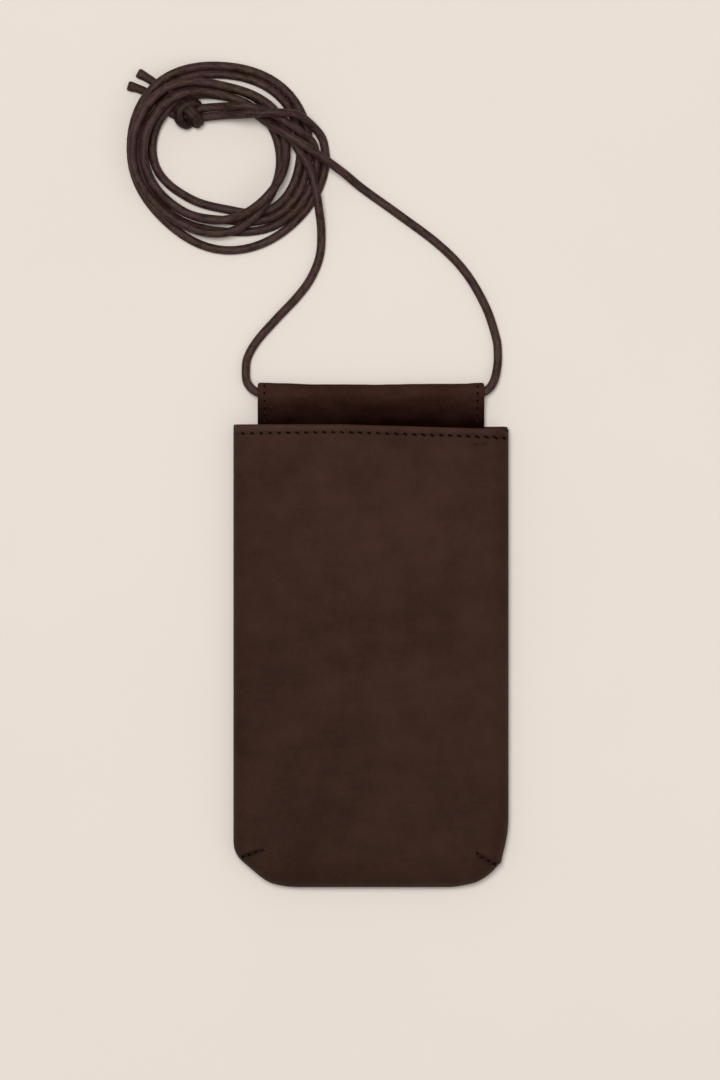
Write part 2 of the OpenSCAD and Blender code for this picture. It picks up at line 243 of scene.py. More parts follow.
# Ripples: their length across, their number along, their height, and their place in the noise
RIPPLES = ((16, 9, 0.22, 1.7), (5, 22, 0.08, 5.2))

# The threads of the stitches, in shares of their length and width, and the rows, in millimetres
# Where along a thread its painted end highlight fades out, in shares of its length from its middle
HIGHLIGHT_END_SPAN = (-0.42, -0.26)
THREAD_BLUNTNESS = 0.7
THREAD_FLATNESS = 0.8
FACE_STEP = 0.3
MOUTH_ROW_LEFT = 3.9
MOUTH_ROW_RIGHT = 2.1
MOUTH_STITCH = 2.45
MOUTH_STITCH_GROWTH = 0.25
MOUTH_STITCH_PULL = 0.7
MOUTH_STITCH_SLOPE = -0.45
MOUTH_STITCH_TURN = 0.3
MOUTH_STITCH_WIDTH = 0.85
MOUTH_STITCH_LIFT = 0.16
DART_STITCH = 2.2
DART_STITCH_SHARE = 0.55
DART_STITCH_WIDTH = 1.15
DART_STITCH_LIFT = 0.14
DART_THINNING = 0.18
TAB_STITCH = 1.7
TAB_STITCH_WIDTH = 0.75
TAB_STITCH_LIFT = 0.08
# The tab's rows are walked in small shares of the tab, to just below the hinge on each leaf
TAB_WALK = 0.002
TAB_ROW_REACH = 0.34

# Pixels of the photograph. Each dart's dark crease runs from the pouch's edge to its point on the front.
LEFT_DART_PX = ((240.0, 857.4), (246.0, 854.8), (252.0, 852.9), (258.6, 850.0), (265.5, 848.6))
RIGHT_DART_PX = ((497.0, 864.6), (491.4, 862.0), (485.4, 858.8), (479.0, 854.8), (475.4, 850.4))
# The bottom corners' edges, from the flat bottom up to the straight side
LEFT_CORNER_PX = (
    (300, 887), (284, 885.9), (272, 883.1), (263.9, 879), (256.3, 873.1), (247.9, 865.9), (241.4, 860.3),
    (238, 856.2), (235, 850.5), (233.8, 845.5), (233.4, 840), (233.35, 800))
RIGHT_CORNER_PX = (
    (448, 887), (463.2, 885.2), (473.5, 883), (481.1, 879.6), (488, 875), (493.8, 869.7),
    (497.2, 865.6), (500.3, 863.5), (501.5, 860.4), (502.4, 855.6), (504.7, 846.8), (507.1, 834.4),
    (508.3, 822), (508.55, 800))
# Two small nicks under the right end of the mouth's stitches
NICKS_PX = ((475.5, 444.6), (483.8, 444.0))


class PouchSizes(bpy.types.PropertyGroup):
    """Sizes of the leather, its edges and its seams."""

    leather: bpy.props.FloatProperty(
        name="Leather", description="Thickness of the leather", default=1.3 * MM, unit="LENGTH")
    side_round: bpy.props.FloatProperty(
        name="Side round", description="Width of the rounded edge along the sides", default=7 * MM,
        unit="LENGTH")
    bottom_round: bpy.props.FloatProperty(
        name="Bottom round", description="Height of the rounded bottom edge", default=12 * MM, unit="LENGTH")
    mouth_slant: bpy.props.FloatProperty(
        name="Mouth slant", description="How much lower the mouth is on the right", default=2.3 * MM,
        unit="LENGTH")
    hem: bpy.props.FloatProperty(
        name="Hem", description="Height of the turned hem at the mouth", default=5.5 * MM, unit="LENGTH")
    stitch_inset: bpy.props.FloatProperty(
        name="Stitch inset", description="Distance from the mouth's edge to its stitches", default=3.05 * MM,
        unit="LENGTH")
    stitch_pitch: bpy.props.FloatProperty(
        name="Stitch pitch", description="Distance from one stitch to the next", default=3.585 * MM,
        unit="LENGTH")


class TabSizes(bpy.types.PropertyGroup):
    """Sizes of the hanger tab."""

    hem_width: bpy.props.FloatProperty(
        name="Hem width", description="Width of the turned hem on each side", default=4.8 * MM,
        unit="LENGTH")
    hem_extra: bpy.props.FloatProperty(
        name="Hem extra", description="Extra thickness of the hem", default=0.8 * MM, unit="LENGTH")
    stitch_inset: bpy.props.FloatProperty(
        name="Stitch inset", description="Distance from the side to its stitches", default=2.7 * MM,
        unit="LENGTH")
    stitch_pitch: bpy.props.FloatProperty(
        name="Stitch pitch", description="Distance from one stitch to the next", default=3.0 * MM,
        unit="LENGTH")


class PouchColours(bpy.types.PropertyGroup):
    """Colours of the leather, the cord, the thread and the floor."""

    leather: bpy.props.FloatVectorProperty(
        name="Leather", description="Colour of the leather", subtype="COLOR", size=3,
        default=(0.0415, 0.0162, 0.0096))
    cord: bpy.props.FloatVectorProperty(
        name="Cord", description="Colour of the cord", subtype="COLOR", size=3,
        default=(0.0430, 0.0193, 0.0136))
    # Painted shade: the thread is near black, standing for the shade in its awl holes
    thread: bpy.props.FloatVectorProperty(
        name="Thread", description="Colour of the thread", subtype="COLOR", size=3,
        default=(0.0030, 0.0012, 0.0008))
    floor: bpy.props.FloatVectorProperty(
        name="Floor", description="Colour of the floor", subtype="COLOR", size=3,
        default=(0.797, 0.726, 0.658))


class Signal:
    """A shader socket with the arithmetic of a number."""

    def __init__(self, finish, socket):
        self.finish = finish
        self.socket = socket

    def math(self, operation, *values):
        return self.finish.add("ShaderNodeMath", {"operation": operation}, values)

    def __add__(self, other):
        return self.math("ADD", self, other)

    def __radd__(self, other):
        return self.math("ADD", other, self)

    def __sub__(self, other):
        return self.math("SUBTRACT", self, other)

    def __rsub__(self, other):
        return self.math("SUBTRACT", other, self)

    def __mul__(self, other):
        return self.math("MULTIPLY", self, other)

    def __rmul__(self, other):
        return self.math("MULTIPLY", other, self)

    def __abs__(self):
        return self.math("ABSOLUTE", self)

    def clamp(self):
        return self.math("MAXIMUM", self.math("MINIMUM", self, 1.0), 0.0)


class Finish:
    """A node material with one Principled surface."""

    def __init__(self, name):
        self.material = bpy.data.materials.new(name)
        self.material.use_nodes = True
        self.tree = self.material.node_tree
        self.surface = next(n for n in self.tree.nodes if n.type == "BSDF_PRINCIPLED")

    def add(self, kind, settings, inputs, output=0):
        """Adds a node, sets it up, fills its sockets in order or by name, and gives one output."""
        node = self.tree.nodes.new(kind)
        for key, value in settings.items():
            if key == "stops":
                self.set_stops(node, value)
            else:
                setattr(node, key, value)
        pairs = inputs.items() if isinstance(inputs, dict) else enumerate(inputs)
        for key, value in pairs:
            self.fill(node.inputs[key], value)
        return Signal(self, node.outputs[output])

    def set_stops(self, node, stops):
        """Grey stops of a ramp, each with its place and its value."""
        ramp = node.color_ramp
        while len(ramp.elements) < len(stops):
            ramp.elements.new(0.5)
        for element, (place, value) in zip(ramp.elements, stops):
            element.position = place
            element.color = (value, value, value, 1)

    def fill(self, socket, value):
        if isinstance(value, Signal):
            self.tree.links.new(value.socket, socket)
        else:
            socket.default_value = value

    def set(self, **sockets):
        """Fills sockets of the surface, named with _ for each space."""
        for key, value in sockets.items():
            self.fill(self.surface.inputs[key.replace("_", " ")], value)

    def place(self, kind="Object"):
        return self.add("ShaderNodeTexCoord", {}, {}, kind)

    def stretch(self, vector, scale):
        return self.add("ShaderNodeMapping", {}, {"Vector": vector, "Scale": scale})

    def noise(self, vector, scale, detail=2.0, roughness=0.5):
        return self.add(
            "ShaderNodeTexNoise", {},
            {"Vector": vector, "Scale": scale, "Detail": detail, "Roughness": roughness}, "Fac")

    def cells(self, vector, scale):
        """Distance from the edges of small cells."""
        settings = {"feature": "DISTANCE_TO_EDGE"}
        return self.add("ShaderNodeTexVoronoi", settings, {"Vector": vector, "Scale": scale}, "Distance")

    def ramp(self, signal, *stops):
        return self.add("ShaderNodeValToRGB", {"stops": stops}, {"Fac": signal}, "Color")

    def mix(self, factor, low, high, blend_type="MIX"):
        """Colour between low and high."""
        settings = {"data_type": "RGBA", "blend_type": blend_type}
        return self.add("ShaderNodeMix", settings, {0: factor, 6: low, 7: high}, 2)

    def times(self, colour, factor):
        """One colour multiplied by another."""
        return self.mix(1.0, colour, factor, "MULTIPLY")

    def coordinate(self, axis):
        """The piece's own X, Y or Z, in metres."""
        return self.add("ShaderNodeSeparateXYZ", {}, {"Vector": self.place()}, axis)

    def height_share(self, low, high):
        """0 at a low and 1 at a high place along the pouch, both in millimetres."""
        return ((self.coordinate("Y") - low * MM) * (1 / ((high - low) * MM))).clamp()

    def attribute(self, name):
        return self.add("ShaderNodeAttribute", {"attribute_name": name}, {}, "Fac")

    def bump(self, height, distance, strength=1.0):
        normal = self.add(
            "ShaderNodeBump", {}, {"Height": height, "Distance": distance, "Strength": strength}, "Normal")
        self.set(Normal=normal)


def shade(colour, factor):
    """A colour made lighter or darker, with full alpha."""
    return tuple(min(1.0, c * factor) for c in colour) + (1.0,)


def tint(colour, factors):
    """A colour with each of its parts multiplied by its own factor, with full alpha."""
    return tuple(c * factor for c, factor in zip(colour, factors)) + (1.0,)


def leather_finish(name, colour, fade, gloss):
    """Smooth matte leather: soft cloudy colour, fine pores, a faint crease here and there."""
    finish = Finish(name)
    here = finish.place()
    cloud = finish.noise(here, 24, 4, 0.6)
    patch = finish.noise(here, 85, 4, 0.6)
    speck = finish.noise(here, 700, 3, 0.7)
    streak = finish.noise(finish.stretch(here, (0.35, 1.6, 1.0)), 130, 3, 0.6)
    clouds = cloud * 0.36 + patch * 0.26 + speck * 0.24 + streak * 0.14
    tone = finish.ramp(clouds, (0.42, 0.0), (0.58, 1.0))
    pores = finish.ramp(finish.cells(here, 1500), (0.0, 0.0), (0.20, 1.0))
    low = tint(colour, (0.80, 0.73, 0.66))
    high = tint(colour, (1.22, 1.30, 1.38))
    colour_here = finish.mix(pores * 0.25 + 0.75, shade(colour, 0.45), finish.mix(tone, low, high))
    # The panels' and the tab's painted light and shade is laid over the leather's own colour here
    finish.set(Base_Color=fade(finish, colour_here), Roughness=0.70 - patch * 0.12 + speck * 0.10)
    finish.set(Specular_IOR_Level=gloss)
    finish.bump(pores * 0.5 + speck * 0.9 + streak * 0.5 + patch * 0.9, 0.16 * MM, 0.8)
    return finish.material


def panel_painted_light(finish, colour):
    """Painted light and shade: a little lighter towards the mouth, a painted highlight on its turned edge,
    and painted shade along the side seam and in the marked grooves and creases.
    """
    # Painted light: darker towards the bottom and lighter towards the mouth, as if lit from above
    rise = finish.height_share(PAINTED_LIGHT_LOW_Y, PAINTED_LIGHT_HIGH_Y)
    # Painted highlight along the hem's rounded top edge
    rim = finish.height_share(HIGHLIGHT_LOW_Y, HIGHLIGHT_HIGH_Y)
    lit = finish.times(colour, finish.mix(rise, (0.83, 0.79, 0.76, 1), WHITE))
    lit = finish.times(lit, finish.mix(rim, WHITE, (1.36, 1.54, 1.74, 1)))
    # Painted shade along the side seam: a broad band and a thin dark line
    away = abs(finish.coordinate("Z") - SEAM_Z * MM)
    for width, dark in ((SEAM_SHADE, (0.60, 0.54, 0.50, 1)), (SEAM_SHADE_LINE, (0.40, 0.36, 0.34, 1))):
        seam = (1 - away * (1 / (width * MM))).clamp() * (1 - rim)
        lit = finish.times(lit, finish.mix(seam, WHITE, dark))
    # Painted shade in the stitch groove and the darts' creases, and the two small dark nicks, from the
    # shadow attribute
    return finish.mix(finish.attribute("shadow"), lit, finish.times(lit, (0.22, 0.16, 0.13, 1)))


def tab_painted_shade(finish, colour):
    """Painted shade, nearly black, where the tab goes into the mouth under the front's edge, with a soft
    blotchy limit, and a little lighter towards the top.
    """
    blotch = finish.noise(finish.stretch(finish.place(), (0.45, 1.0, 1.0)), 150, 3, 0.6)
    # Painted shade: nearly black at the mouth, rising to a lighter top of the tab
    rise = finish.height_share(SHADED_LOW_Y, SHADED_HIGH_Y)
    share = finish.ramp(rise + (blotch - 0.5) * 0.55, (0.06, 0.0), (0.36, 0.34), (0.86, 1.0))
    return finish.times(colour, finish.mix(share, (0.12, 0.045, 0.0, 1), (1.04, 1.14, 1.34, 1)))


def cord_finish(name, colour, grain_length):
    """Round leather cord, burnished, with a faint grain drawn out along it."""
    finish = Finish(name)
    along = finish.stretch(finish.place("UV"), (6.0, grain_length, 1.0))
    grain = finish.noise(along, 3.0, 3, 0.6)
    here = finish.place()
    cloud = finish.noise(here, 140, 3, 0.6)
    speck = finish.noise(here, 900, 3, 0.7)
    tone = finish.ramp(grain * 0.50 + cloud * 0.25 + speck * 0.25, (0.44, 0.0), (0.56, 1.0))
    plum = finish.noise(here, 70, 2, 0.5)
    warm = tint(colour, (1.46, 1.68, 1.50))
    cool = tint(colour, (1.40, 1.42, 1.90))
    low = tint(colour, (0.46, 0.36, 0.34))
    high = finish.mix(finish.ramp(plum, (0.42, 0.0), (0.58, 1.0)), warm, cool)
    finish.set(Base_Color=finish.mix(tone, low, high), Roughness=0.50 + grain * 0.16)
    finish.set(Specular_IOR_Level=0.20)
    finish.bump(grain * 0.8 + speck * 0.5, 0.14 * MM, 0.8)
    return finish.material


def thread_finish(name, colour):
    """Waxed sewing thread, painted near black for the shade in its hole, with a painted highlight at the end
    where it comes up.
    """
    finish = Finish(name)
    ply = finish.noise(finish.place(), 2600, 2, 0.5)
    dark = finish.mix(ply, shade(colour, 0.5), shade(colour, 1.5))
    finish.set(Base_Color=finish.mix(finish.attribute("rise"), dark, THREAD_END_HIGHLIGHT))
    finish.set(Roughness=0.7 + ply * 0.2, Specular_IOR_Level=0.03)
    finish.bump(ply, 0.06 * MM, 0.5)
    return finish.material


def floor_finish(name, colour):
    """Matte plaster, hardly clouded."""
    finish = Finish(name)
    cloud = finish.noise(finish.place(), 9, 5, 0.6)
    finish.set(Base_Color=finish.mix(cloud, shade(colour, 0.975), shade(colour, 1.02)), Roughness=0.9)
    return finish.material


def catmull(points, i, t):
    """Point between points[i] and points[i + 1] on a smooth curve through all."""
    last = len(points) - 1
    a, b, c, d = (points[min(last, max(0, i + k))] for k in (-1, 0, 1, 2))
    return tuple(
        (2 * q + (r - p) * t + (2 * p - 5 * q + 4 * r - s) * t * t + (3 * q - p - 3 * r + s) * t ** 3) / 2
        for p, q, r, s in zip(a, b, c, d))


def smooth_line(points, steps):
    """Points along a smooth curve through the given ones, with the last one left out."""
    return [catmull(points, i, k / steps) for i in range(len(points) - 1) for k in range(steps)]


def turn_line(rows, first, steps):
    """Points of the coil's turns, anticlockwise, from the row named first to the last."""
    line = []
    for i in range(first, len(rows)):
        for k in range(1 if i == len(rows) - 1 else steps):
            radius, layer = catmull(rows, i, k / steps)
            angle = 2 * math.pi * (i + 1 + k / steps) / EIGHTHS
            line.append((
                COIL_MIDDLE[0] + COIL_RADIUS * radius * math.cos(angle),
                COIL_MIDDLE[1] + COIL_RADIUS * radius * math.sin(angle),
                CORD_DIAMETER / 2 + LAYER_RISE * max(0, layer)))
    return line


def cord_route(lead, rows, first, end, steps):
    """The whole route of one half of the cord, from the tab to the knot, in metres."""
    turns = turn_line(rows, first, steps)
    arrival = smooth_line(lead + [turns[0]], steps)
    leaving = smooth_line([turns[-1]] + end, steps) + [end[-1]]
    line = arrival + turns[:-1] + leaving
    return [Vector((x, y, max(z, CORD_DIAMETER / 2))) * MM for x, y, z in line]


def evened(route, step):
    """The same route with its points an even step apart."""
    lengths = [0.0]
    for a, b in zip(route, route[1:]):
        lengths.append(lengths[-1] + (b - a).length)
    count = max(2, round(lengths[-1] / step))
    line = []
    j = 0
    for i in range(count + 1):
        want = lengths[-1] * i / count
        while j < len(route) - 2 and lengths[j + 1] < want:
            j += 1
        share = (want - lengths[j]) / (lengths[j + 1] - lengths[j])
        line.append(route[j].lerp(route[j + 1], share))
    return line


def length_of(route):
    """Length along all points of a route."""
    return sum((b - a).length for a, b in zip(route, route[1:]))


def as_mesh(name, bm):
    """The finished bmesh as a mesh."""
    mesh = bpy.data.meshes.new(name)
    bm.to_mesh(mesh)
    bm.free()
    return mesh


def new_piece(name, mesh, material, body):
    """A finished piece at the origin, which rides on a body if one is given."""
    piece = bpy.data.objects.new(name, mesh)
    bpy.context.scene.collection.objects.link(piece)
    mesh.materials.append(material)
    mesh.shade_smooth()
    if body:
        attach(piece, body)
    return piece


def new_bmesh():
    """An empty bmesh with a UV map."""
    bm = bmesh.new()
    bm.loops.layers.uv.new("UVMap")
    return bm


def add_grid(bm, columns, rows, place, *side):
    """A grid of faces whose points are placed by a function of their shares across and along."""
    made = bmesh.ops.create_grid(bm, x_segments=columns, y_segments=rows, size=0.5, calc_uvs=True)
    for vertex in made["verts"]:
        vertex.co = place(vertex.co.x + 0.5, vertex.co.y + 0.5, *side)


def shell_mesh(name, columns, rows, place):
    """A sheet of real thickness: an outer and an inner grid, joined round their edges."""
    bm = new_bmesh()
    for inner in (0, 1):
        add_grid(bm, columns, rows, place, inner)
    rim = [edge for edge in bm.edges if edge.is_boundary]
    bmesh.ops.bridge_loops(bm, edges=rim)
    bmesh.ops.recalc_face_normals(bm, faces=bm.faces)
    return as_mesh(name, bm)


def tube_mesh(name, route, diameter, squeeze=None):
    """A round tube along a route, with its ends closed."""
    last = len(route) - 1
    rings = []
    for i, point in enumerate(route):
        along = (route[min(last, i + 1)] - route[max(0, i - 1)]).normalized()
        across = Vector((-along.y, along.x, 0)).normalized()
        rings.append((point, across, along.cross(across)))

    def place(s, t):
        i = round(t * last)
        point, across, up = rings[i]
        radius = diameter / 2 * (squeeze(i, last) if squeeze else 1)
        angle = 2 * math.pi * (s % 1)
        return point + radius * (across * math.cos(angle) + up * math.sin(angle))

    bm = new_bmesh()
    add_grid(bm, CORD_SIDES, last, place)
    bmesh.ops.remove_doubles(bm, verts=bm.verts, dist=0.001 * MM)
    bmesh.ops.holes_fill(bm, edges=bm.edges, sides=CORD_SIDES + 1)
    bmesh.ops.recalc_face_normals(bm, faces=bm.faces)
    return as_mesh(name, bm)


def smooth_step(low, high, value):
    """A smooth rise from 0 at low to 1 at high, where high may also be the smaller number."""
    t = min(1.0, max(0.0, (value - low) / (high - low)))
    return t * t * (3 - 2 * t)


def hump(distance, width):
    """1 at no distance, falling off softly over a width."""
    return math.exp(-(distance / width) ** 2)


def smooth_between(table, value):
    """Reads a table of rising places and values at a place, on a smooth line through all of them."""
    if value >= table[-1][0]:
        return table[-1][1]
    if value <= table[0][0]:
        return table[0][1]
    i = next(k for k in range(len(table) - 1) if value <= table[k + 1][0])
    slopes = []
    for k in (i, i + 1):
        low, high = table[max(0, k - 1)], table[min(len(table) - 1, k + 1)]
        slopes.append((high[1] - low[1]) / (high[0] - low[0]))
    (x0, y0), (x1, y1) = table[i], table[i + 1]
    run = x1 - x0
    t = (value - x0) / run
    return (
        y0 * (1 + 2 * t) * (1 - t) ** 2 + slopes[0] * run * t * (1 - t) ** 2
        + y1 * t * t * (3 - 2 * t) - slopes[1] * run * t * t * (1 - t))


def from_px(point):
    """A pixel of the photograph as a place on the pouch, in millimetres."""
    return Vector(((point[0] - MIDDLE_X_PX) * MM_PER_PX, (MIDDLE_Y_PX - point[1]) * MM_PER_PX))


def corner_table(points):
    """Half widths of one side by the root of the height above the bottom, which runs evenly round."""
    table = []
    for point in points:
        spot = from_px(point)
        height = max(0.0, spot.y - from_px(points[0]).y)
        table.append((math.sqrt(height), abs(spot.x)))
    return table


LEFT_DART = [from_px(p) for p in LEFT_DART_PX]
RIGHT_DART = [from_px(p) for p in RIGHT_DART_PX]
NICKS = [from_px(p) for p in NICKS_PX]
LEFT_CORNER = corner_table(LEFT_CORNER_PX)
RIGHT_CORNER = corner_table(RIGHT_CORNER_PX)


class PouchShape:
    """Works out points of the pouch's leather, with depth counted inwards from its outer face."""

    def __init__(self, sizes):
        self.leather = sizes.leather / MM
        self.side_round = sizes.side_round / MM
        self.bottom_round = sizes.bottom_round / MM
        self.slant = sizes.mouth_slant / MM
        self.hem = sizes.hem / MM
        self.stitch_inset = sizes.stitch_inset / MM

    def half_width(self, y, inset, share):
        """Distance from the middle to the left or the right edge at a height."""
        table = RIGHT_CORNER if share > 0 else LEFT_CORNER
        return min(HALF_WIDTH, smooth_between(table, math.sqrt(max(0.0, y - BOTTOM_Y - inset)))) - inset

    def rounding(self, over, width):
        """Height on a quarter round: 1 before it starts and 0 at its end."""
        return math.sqrt(max(0.0, 1 - min(1.0, max(0.0, over) / width) ** 2))

    def dome(self, share, y, inset):
        """How far the leather stands up at a place: 1 in the middle, falling to 0 round the edge."""
        room = (1 - abs(share)) * self.half_width(y, inset, share)
        across = self.rounding(self.side_round - inset - room, self.side_round - inset)
        up = self.rounding(BOTTOM_Y + self.bottom_round - y, self.bottom_round - inset)
        return across * up

    def mouth_y(self, share):
        """Height of the front's mouth edge, level on the left and then slanting down to the right."""
        slope = max(0.0, share - SLANT_FROM_SHARE) / (1 - SLANT_FROM_SHARE)
        tip = max(0.0, share - TIP_FROM_SHARE) / (1 - TIP_FROM_SHARE)
        return FRONT_MOUTH_Y - (self.slant - SLANT_EASE) * slope - TIP_DROP * tip

    def column(self, s):
        """Place across, from -1 to 1, with more columns in the rounded sides."""
        t = 2 * s - 1
        edge = 1 - self.side_round / HALF_WIDTH
        middle = edge / (edge + (1 - edge) * math.pi / 2)
        if abs(t) <= middle:
            return edge * t / middle
        angle = math.pi / 2 * (abs(t) - middle) / (1 - middle)
        return math.copysign(edge + (1 - edge) * math.sin(angle), t)

    def front(self, share, y, depth):
        """A point of the front panel, whose left mouth corner is square."""
        square = smooth_step(SQUARE_FROM, SQUARE_TO, self.mouth_y(share) - y) if share < 0 else 0.0
        x = share * (self.half_width(y, depth, share) + SQUARE_FILL * depth * square)
        body = DEPTH - SEAM_Z - depth
        dome = self.dome(share, y, depth)
        z = SEAM_Z + body * (CROWN_SHARE + (1 - CROWN_SHARE) * (1 - share * share)) * dome
        if depth < self.leather:
            z += dome * self.relief(x, y, share)
        return Vector((x, y, z))

    def back(self, share, y, depth):
        """A point of the back panel, flat up to its rounded edge."""
        x = share * self.half_width(y, depth, share)
        return Vector((x, y, SEAM_Z - (SEAM_Z - depth) * self.dome(share, y, depth)))

    def relief(self, x, y, share):
        """Small rises and dips of the front: waves, the hem's ridge, the stitch groove and the darts."""
        wave = sum(
            noise.noise(Vector((x / across, y / along, start))) * height
            for across, along, height, start in WAVES)
        below = self.mouth_y(share) - y
        inset = self.row_inset(share)
        ridge = RIDGE_HEIGHT * (1 - smooth_step(inset - RIDGE_ABOVE_ROW, inset + RIDGE_BELOW_ROW, below))
        groove = GROOVE_DEPTH * hump(below - inset, GROOVE_WIDTH)
        shelf = SHELF_HEIGHT * (1 - smooth_step(self.hem, self.hem + SHELF_FALL, below))
        calmed = wave * smooth_step(0, CALM_UNDER_MOUTH, below)
        return calmed + ridge - groove + shelf + self.pinch(x, y)

    def row_inset(self, share):
        """Distance of the stitch row from the mouth's edge, least in the middle."""
        return self.stitch_inset + (ROW_DIP_LEFT if share < 0 else ROW_DIP_RIGHT) * share * share

    def pinch(self, x, y):
        """The darts' creases, each with the leather a little raised beside it."""
        total = 0.0
        for dart in (LEFT_DART, RIGHT_DART):
            away, along = self.from_line(dart, x, y)
            crease = CREASE_DEPTH * hump(away, CREASE_WIDTH)
            pucker = PUCKER_HEIGHT * hump(away - PUCKER_AWAY, PUCKER_WIDTH)
            total += (1 - smooth_step(*CREASE_FADE, along)) * (pucker - crease)
        return total

    def from_line(self, line, x, y):
        """Distance from a bent line, and the share along it of the nearest place."""
        here = Vector((x, y))
        nearest = (math.inf, 1.0)
        for k, (a, b) in enumerate(zip(line, line[1:])):
            t = min(1.0, max(0.0, (here - a).dot(b - a) / (b - a).length_squared))
            nearest = min(nearest, ((here - a.lerp(b, t)).length, (k + t) / (len(line) - 1)))
        return nearest

    def shadow(self, x, y):
        """Where the leather is dark: down in the stitch groove and in the darts' creases."""
        share = x / self.half_width(y, 0, x)
        below = self.mouth_y(share) - y
        dark = GROOVE_SHADE * hump(below - self.row_inset(share), GROOVE_WIDTH)
        for dart in (LEFT_DART, RIGHT_DART):
            away, along = self.from_line(dart, x, y)
            fade = 1 - smooth_step(*CREASE_SHADE_FADE, along)
            dark += CREASE_SHADE * hump(away, CREASE_SHADE_WIDTH) * fade
        for nick in NICKS:
            dark += NICK_SHADE * hump(x - nick.x, NICK_LENGTH) * hump(y - nick.y, NICK_WIDTH)
        return min(1.0, dark)


def rows_to_height(shape, mouth):
    """Turns a share along the leather into a height and a depth, over the mouth's fold and down inside."""
    fold = shape.leather + FOLD_SLACK
    straight = mouth - fold - BOTTOM_Y
    total = straight + math.pi * fold + shape.hem

    def at(t, inner):
        length = t * total
        depth = shape.leather if inner else 0.0
        if length <= straight:
            lean = shape.bottom_round
            rise = lean * (1 - math.cos(math.pi / 2 * length / lean)) if length < lean else length
            return BOTTOM_Y + max(rise, depth), depth
        radius = fold - depth
        angle = (length - straight) / fold
        if angle <= math.pi:
            return mouth - fold + radius * math.sin(angle), fold - radius * math.cos(angle)
        return mouth - fold - (length - straight - math.pi * fold), fold + radius

    return at


def colours():
    """The colours that a user may change."""
    return bpy.context.scene.pouch_colours


def finished(name, make, *values):
    """The named material, made on its first use."""
    return bpy.data.materials.get(name) or make(name, *values)


def panel_leather():
    return finished("pouch_leather", leather_finish, colours().leather, panel_painted_light, 0.12)


def tab_leather():
    return finished("folded_leather", leather_finish, colours().leather, tab_painted_shade, 0.015)


def cord_leather():
    return finished("round_cord", cord_finish, colours().cord, 60.0)


def knot_shaded_leather():
    """The same leather, darker all over: painted shade for the tight tangle of the knot."""
    return finished("knot_cord", cord_finish, shade(colours().cord, 0.66), 8.0)


def sewing_thread():
    return finished("sewing_thread", thread_finish, colours().thread)


class POUCH_OT_add_stage(bpy.types.Operator):
    """Add the camera, the lamps and the pale floor"""

    bl_idname = "pouch.add_stage"
    bl_label = "Add Stage"

    def execute(self, context):
        scene = context.scene
        scene.view_settings.view_transform = "Standard"
        self.add_camera(scene)
        self.add_lamps(scene)
        self.add_floor(scene)
        return {"FINISHED"}

    def add_camera(self, scene):
        """Looks straight down, so that a pixel is the same size all over the pouch."""
        camera_data = bpy.data.cameras.new("camera")
        camera = bpy.data.objects.new("camera", camera_data)
        middle = from_px((PHOTO_WIDTH_PX / 2, PHOTO_HEIGHT_PX / 2)) * MM
        camera.location = (middle.x, middle.y, CAMERA_HEIGHT)
        seen = PHOTO_HEIGHT_PX * MM_PER_PX * MM
        camera_data.lens = camera_data.sensor_width * (CAMERA_HEIGHT - SHARP_LEVEL) / seen
        camera_data.clip_end = CAMERA_REACH
        scene.collection.objects.link(camera)
        scene.camera = camera

    def add_lamps(self, scene):
        world = bpy.data.worlds.new("studio_air")
        world.use_nodes = True
        air = next(n for n in world.node_tree.nodes if n.type == "BACKGROUND")
        air.inputs["Color"].default_value = AIR_COLOUR
        air.inputs["Strength"].default_value = AIR_STRENGTH
        scene.world = world
        for name, place, size, power in LAMPS:
            data = bpy.data.lights.new(name, "AREA")
            data.energy = power
            data.size = size
            lamp = bpy.data.objects.new(name, data)
            lamp.location = place
            lamp.rotation_euler = (-Vector(place)).to_track_quat("-Z", "Y").to_euler()
            scene.collection.objects.link(lamp)

    def add_floor(self, scene):
        bm = bmesh.new()
        bmesh.ops.create_grid(bm, x_segments=4, y_segments=4, size=FLOOR_HALF)
        mesh = as_mesh("floor", bm)
        mesh.materials.append(finished("pale_floor", floor_finish, colours().floor))
        floor = bpy.data.objects.new("floor", mesh)
        scene.collection.objects.link(floor)


class POUCH_OT_add_panels(bpy.types.Operator):
    """Add the front and the back panel, with their turned mouth hems and darts"""

    bl_idname = "pouch.add_panels"
    bl_label = "Add Panels"

    def execute(self, context):
        shape = PouchShape(context.scene.pouch_sizes)
        front_rows = {}

        def front(s, t, inner):
            share = shape.column(s)
            mouth = round(shape.mouth_y(share), 4)
            if mouth not in front_rows:
                front_rows[mouth] = rows_to_height(shape, mouth)
            y, depth = front_rows[mouth](t, inner)
            return shape.front(share, y, depth) * MM

        back_rows = rows_to_height(shape, BACK_MOUTH_Y)

        def back(s, t, inner):
            y, depth = back_rows(t, inner)
            return shape.back(shape.column(s), y, depth) * MM

        front_mesh = shell_mesh("front_leather", PANEL_COLUMNS, PANEL_ROWS, front)
        self.mark_shadows(front_mesh, shape)
        piece = new_piece("front_leather", front_mesh, panel_leather(), "pouch")
        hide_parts("front_panel")
        back_mesh = shell_mesh("back_leather", PANEL_COLUMNS, PANEL_ROWS // 2, back)
        piece = new_piece("back_leather", back_mesh, panel_leather(), "pouch")
        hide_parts("back_panel")
        return {"FINISHED"}

    def mark_shadows(self, mesh, shape):
        """Writes on each point of the front how dark its groove or crease is."""
        marks = mesh.attributes.new("shadow", "FLOAT", "POINT")
        for vertex, mark in zip(mesh.vertices, marks.data):
            x, y, z = vertex.co / MM
            if z > SEAM_Z:
                mark.value = shape.shadow(x, y)


